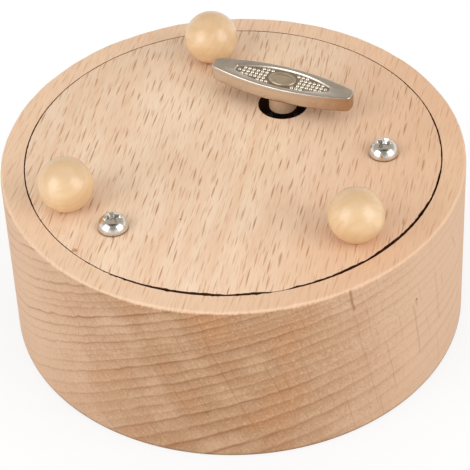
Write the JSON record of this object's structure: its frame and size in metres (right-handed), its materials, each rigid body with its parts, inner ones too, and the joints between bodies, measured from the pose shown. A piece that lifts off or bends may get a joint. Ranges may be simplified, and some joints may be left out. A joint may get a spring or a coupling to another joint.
{
  "type": "wind-up music box",
  "caption": "Round wooden wind-up music box, bottom up, with ball feet, an inset base plate and a flat winding key over a pinned-cylinder movement.",
  "frame": {"origin": "centre of the drum's closed flat face, on the drum's axis: the face that the box lies on when it is stored bottom up", "axes": "+Z along the drum's axis, out of the base plate with the feet and the key, because the box is stored bottom up; +X to the right and +Y away from the viewer with the key at the back right. Turn it half over about X to stand it on its three ball feet"},
  "size_m": [0.085, 0.085, 0.0448],
  "materials": {
    "beech_case": "fine sanded, unlacquered beech",
    "beech_plate": "fine sanded beech with a dark laser-cut edge",
    "ball_wood": "clear gloss lacquer",
    "dowel_wood": "raw",
    "screw_nickel": "bright nickel plate",
    "key_nickel": "nickel plate over a die casting",
    "zinc_casting": "zinc die casting, as cast",
    "bright_steel": "ground steel",
    "spring_steel": "blued spring steel",
    "brass": "turned brass",
    "lead": "cast lead",
    "gear_plastic": "moulded, unpainted"
  },
  "bodies": {
    "case": {"drum": "beech_case", "base_plate": "beech_plate", "foot_1": "ball_wood", "foot_2": "ball_wood", "foot_3": "ball_wood", "foot_dowels": "dowel_wood", "movement_screws": "screw_nickel", "bedplate": "zinc_casting", "spring_case": "zinc_casting", "comb": "bright_steel", "comb_weights": "lead", "comb_screws": "screw_nickel", "governor_bracket": "bright_steel", "bracket_screw": "screw_nickel", "mainspring": "spring_steel"},
    "key": {"winding_key": "key_nickel", "winding_arbor": "bright_steel", "ratchet_wheel": "bright_steel", "arbor_ring": "bright_steel"},
    "drive": {"drive_gear": "brass", "click_spring": "bright_steel"},
    "cylinder": {"cylinder_tube": "brass", "cylinder_pins": "bright_steel", "cylinder_ends": "gear_plastic", "cylinder_shaft": "bright_steel", "cylinder_pinion": "brass", "cylinder_gear": "brass"},
    "first_governor_wheel": {"first_wheel": "gear_plastic", "first_arbor": "bright_steel"},
    "second_governor_wheel": {"second_pinion": "gear_plastic", "worm_wheel": "gear_plastic", "second_arbor": "bright_steel"},
    "air_brake": {"worm_shaft": "bright_steel", "fly": "gear_plastic"}
  },
  "joints": [
    {"name": "key_turn", "type": "hinge", "parent": "case", "child": "key", "pos_m": [0.0099, 0.0142, 0.035], "axis": [0, 0, -1], "range_deg": [0, 1710], "deforming": ["mainspring"]},
    {"name": "drive_turn", "type": "hinge", "parent": "case", "child": "drive", "pos_m": [0.0099, 0.0142, 0.0217], "axis": [0, 0, 1], "continuous": true},
    {"name": "cylinder_turn", "type": "hinge", "parent": "case", "child": "cylinder", "pos_m": [0.0099, 0.0142, 0.01502], "axis": [0.9455, 0.3256, 0], "continuous": true},
    {"name": "first_wheel_turn", "type": "hinge", "parent": "case", "child": "first_governor_wheel", "pos_m": [0.00742, 0.02141, 0.01682], "axis": [0.9455, 0.3256, 0], "continuous": true},
    {"name": "second_wheel_turn", "type": "hinge", "parent": "case", "child": "second_governor_wheel", "pos_m": [0.00677, 0.02329, 0.02277], "axis": [0.9455, 0.3256, 0], "continuous": true},
    {"name": "air_brake_turn", "type": "hinge", "parent": "case", "child": "air_brake", "pos_m": [-0.02062, 0.01992, 0.02277], "axis": [0, 0, 1], "continuous": true}
  ],
  "couplings": [
    {"joint": "cylinder_turn", "follows": "drive_turn", "ratio": 2},
    {"joint": "first_wheel_turn", "follows": "drive_turn", "ratio": -8.4},
    {"joint": "second_wheel_turn", "follows": "drive_turn", "ratio": 33.6},
    {"joint": "air_brake_turn", "follows": "drive_turn", "ratio": -1008}
  ]
}
